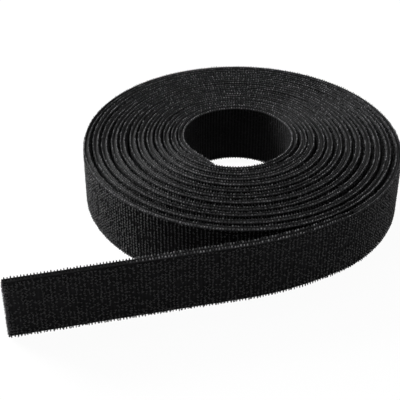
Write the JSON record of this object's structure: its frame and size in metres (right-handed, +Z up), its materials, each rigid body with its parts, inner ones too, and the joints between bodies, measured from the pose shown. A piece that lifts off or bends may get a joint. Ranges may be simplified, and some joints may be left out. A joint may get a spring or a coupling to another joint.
{
  "type": "hook and loop tape roll",
  "caption": "Coreless roll of double-sided hook and loop tape, wound on edge around an open hole, with its free end peeled off and bending out straight.",
  "frame": {"origin": "bottom centre of the part's box at rest, on the plane that the tape's lower edges stand on", "axes": "+Z up along the roll's axis, across the tape's width; the straight free end runs along -X; +Y from the free end towards the roll"},
  "size_m": [0.1288, 0.103, 0.02],
  "materials": {
    "hook_web": "black woven nylon with rows of cut hooks",
    "bond_film": "thin black bonding film",
    "loop_web": "black woven nylon with a brushed loop pile"
  },
  "bodies": {
    "winding": {"winding_hook_web": "hook_web", "winding_bond_film": "bond_film", "winding_loop_web": "loop_web"},
    "tail_1": {"tail_1_hook_web": "hook_web", "tail_1_bond_film": "bond_film", "tail_1_loop_web": "loop_web"},
    "tail_2": {"tail_2_hook_web": "hook_web", "tail_2_bond_film": "bond_film", "tail_2_loop_web": "loop_web"},
    "tail_3": {"tail_3_hook_web": "hook_web", "tail_3_bond_film": "bond_film", "tail_3_loop_web": "loop_web"},
    "tail_4": {"tail_4_hook_web": "hook_web", "tail_4_bond_film": "bond_film", "tail_4_loop_web": "loop_web"},
    "tail_5": {"tail_5_hook_web": "hook_web", "tail_5_bond_film": "bond_film", "tail_5_loop_web": "loop_web"},
    "tail_6": {"tail_6_hook_web": "hook_web", "tail_6_bond_film": "bond_film", "tail_6_loop_web": "loop_web"},
    "tail_7": {"tail_7_hook_web": "hook_web", "tail_7_bond_film": "bond_film", "tail_7_loop_web": "loop_web"},
    "tail_8": {"tail_8_hook_web": "hook_web", "tail_8_bond_film": "bond_film", "tail_8_loop_web": "loop_web"}
  },
  "joints": [
    {"name": "peel_line", "type": "hinge", "parent": "winding", "child": "tail_1", "pos_m": [0.03032, -0.04527, 0.01], "axis": [0, 0, 1], "range_deg": [-1.9, 35]},
    {"name": "tail_fold_2", "type": "hinge", "parent": "tail_1", "child": "tail_2", "pos_m": [0.0203, -0.04819, 0.01], "axis": [0, 0, 1], "range_deg": [-5.4, 5.4]},
    {"name": "tail_fold_3", "type": "hinge", "parent": "tail_2", "child": "tail_3", "pos_m": [0.01002, -0.04996, 0.01], "axis": [0, 0, 1], "range_deg": [-6.16, 6.16]},
    {"name": "tail_fold_4", "type": "hinge", "parent": "tail_3", "child": "tail_4", "pos_m": [-0.0004, -0.05055, 0.01], "axis": [0, 0, 1], "range_deg": [-9.87, 9.87]},
    {"name": "tail_fold_5", "type": "hinge", "parent": "tail_4", "child": "tail_5", "pos_m": [-0.0132, -0.05055, 0.01], "axis": [0, 0, 1], "range_deg": [-14.4, 14.4]},
    {"name": "tail_fold_6", "type": "hinge", "parent": "tail_5", "child": "tail_6", "pos_m": [-0.026, -0.05055, 0.01], "axis": [0, 0, 1], "range_deg": [-14.41, 14.41]},
    {"name": "tail_fold_7", "type": "hinge", "parent": "tail_6", "child": "tail_7", "pos_m": [-0.0388, -0.05055, 0.01], "axis": [0, 0, 1], "range_deg": [-14.41, 14.41]},
    {"name": "tail_fold_8", "type": "hinge", "parent": "tail_7", "child": "tail_8", "pos_m": [-0.0516, -0.05055, 0.01], "axis": [0, 0, 1], "range_deg": [-14.41, 14.41]}
  ],
  "couplings": [
    {"joint": "tail_fold_2", "follows": "tail_fold_5", "ratio": 0.374},
    {"joint": "tail_fold_3", "follows": "tail_fold_5", "ratio": 0.427},
    {"joint": "tail_fold_4", "follows": "tail_fold_5", "ratio": 0.685},
    {"joint": "tail_fold_6", "follows": "tail_fold_5", "ratio": 1},
    {"joint": "tail_fold_7", "follows": "tail_fold_5", "ratio": 1},
    {"joint": "tail_fold_8", "follows": "tail_fold_5", "ratio": 1}
  ]
}
